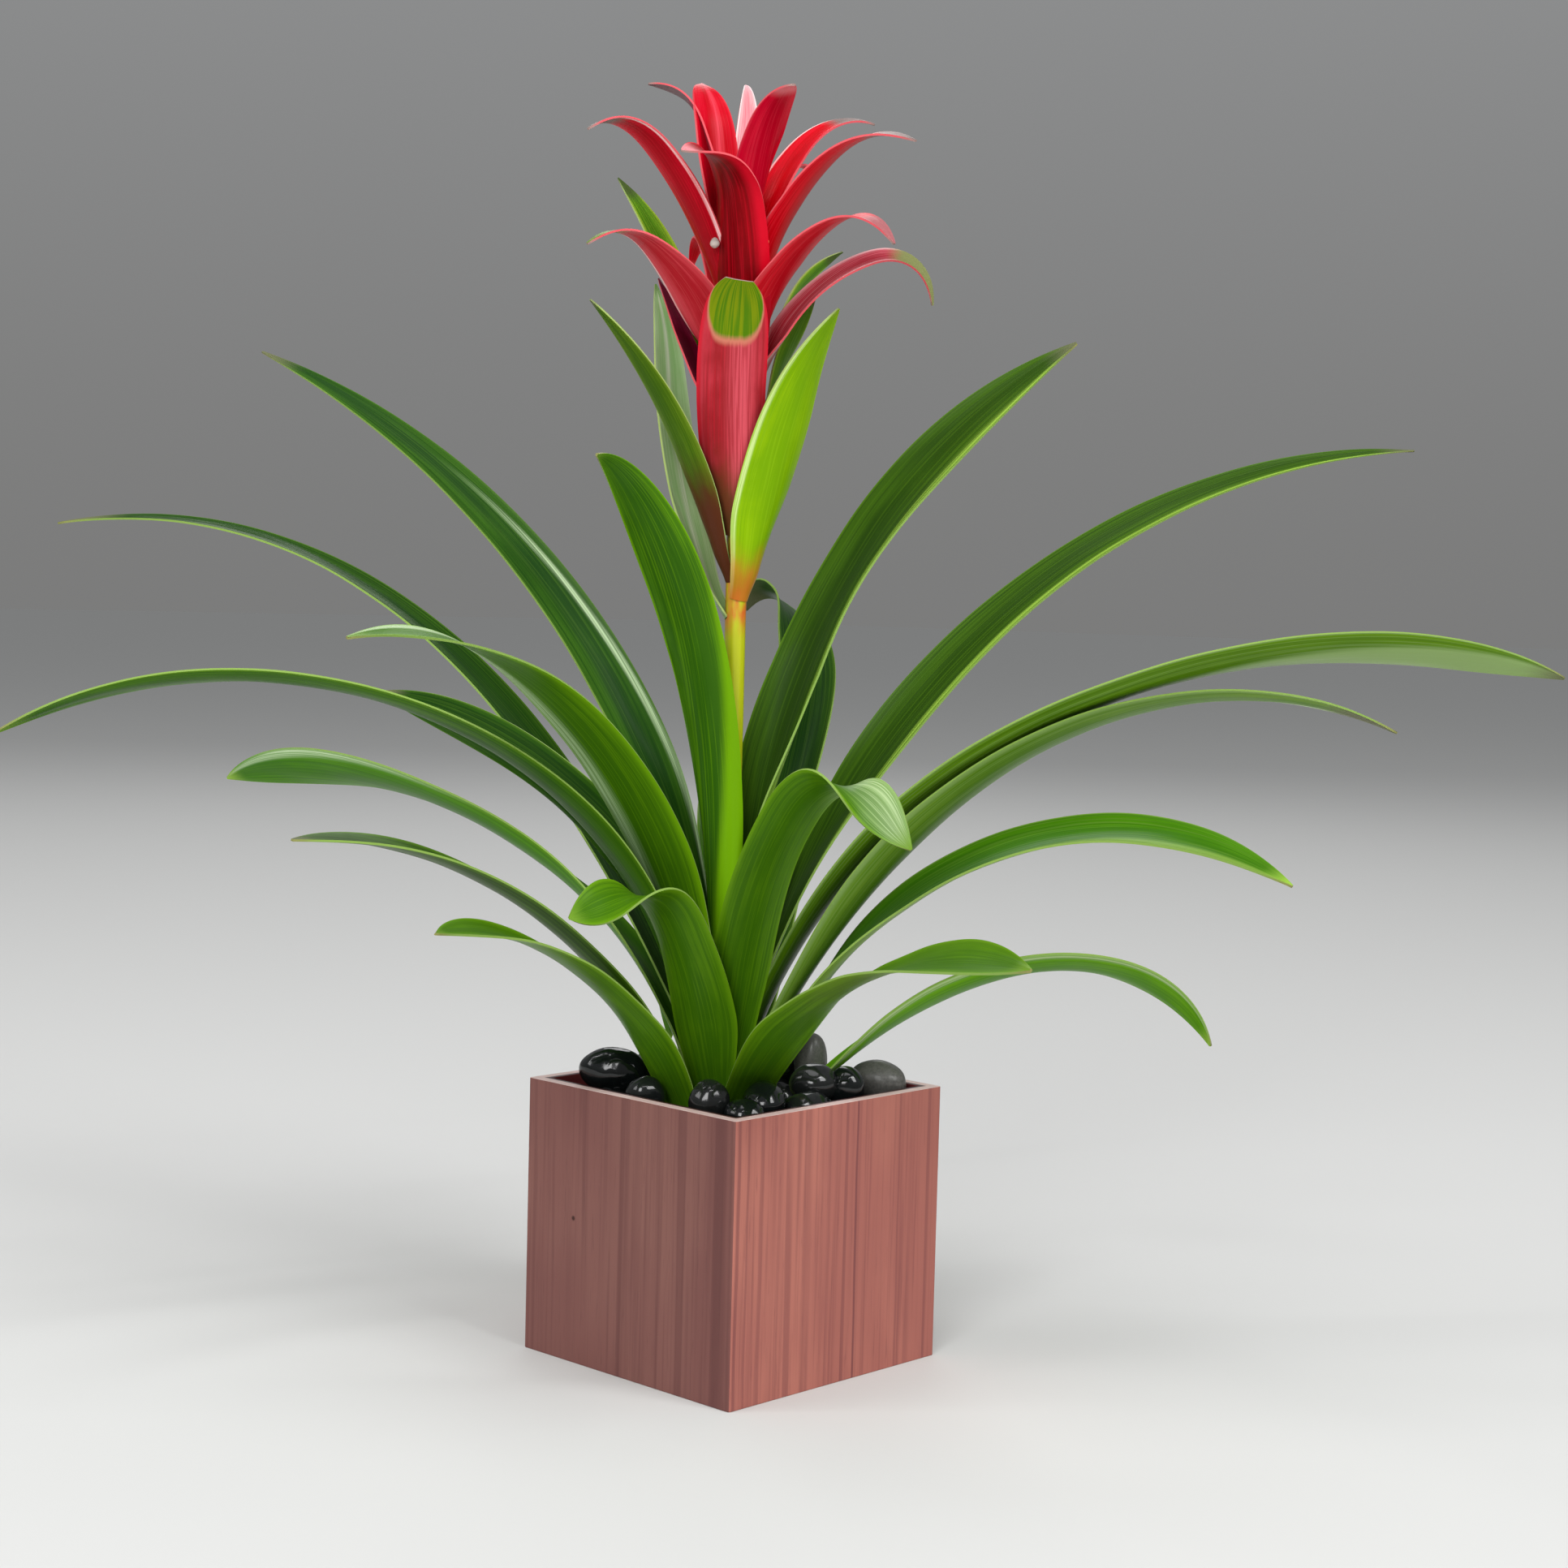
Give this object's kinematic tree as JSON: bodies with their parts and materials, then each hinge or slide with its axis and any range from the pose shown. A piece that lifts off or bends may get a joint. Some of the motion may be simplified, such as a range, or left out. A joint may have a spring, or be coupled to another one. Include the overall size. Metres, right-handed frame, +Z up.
{
  "type": "potted bromeliad",
  "caption": "Bromeliad with arching strap leaves and a red flower head on an upright stem, in a square wood-veneered planter topped with dark pebbles.",
  "frame": {"origin": "middle of the planter's underside, where it rests", "axes": "+Z up along the flower stem; X and Y square to the planter's sides; the edge at +X -Y faces the picture's camera"},
  "size_m": [0.5543, 0.5469, 0.5689],
  "materials": {
    "veneer": "satin",
    "board": "matte",
    "liner": "matte",
    "soil": "matte",
    "pebble": "polished",
    "crown": "matte",
    "leaf": "glossy",
    "stem": "satin",
    "lime_bract": "glossy",
    "green_bract": "glossy",
    "red_bract": "glossy"
  },
  "bodies": {
    "root": {"planter_walls": "veneer", "planter_floor": "board", "planter_liner": "liner", "potting_soil": "soil", "pebbles": "pebble", "crown": "crown", "leaf_01": "leaf", "leaf_02": "leaf", "leaf_03": "leaf", "leaf_04": "leaf", "leaf_05": "leaf", "leaf_06": "leaf", "leaf_07": "leaf", "leaf_08": "leaf", "leaf_09": "leaf", "leaf_10": "leaf", "leaf_11": "leaf", "leaf_12": "leaf", "leaf_13": "leaf", "leaf_14": "leaf", "leaf_15": "leaf", "leaf_16": "leaf", "leaf_17": "leaf", "leaf_18": "leaf", "leaf_19": "leaf", "leaf_20": "leaf", "leaf_21": "leaf", "leaf_22": "leaf", "leaf_23": "leaf", "leaf_24": "leaf", "flower_stem": "stem", "stem_bract_1": "lime_bract", "stem_bract_2": "green_bract", "stem_bract_3": "green_bract", "stem_bract_4": "green_bract", "stem_bract_5": "green_bract", "stem_bract_6": "green_bract", "flower_head": "red_bract"}
  },
  "joints": []
}
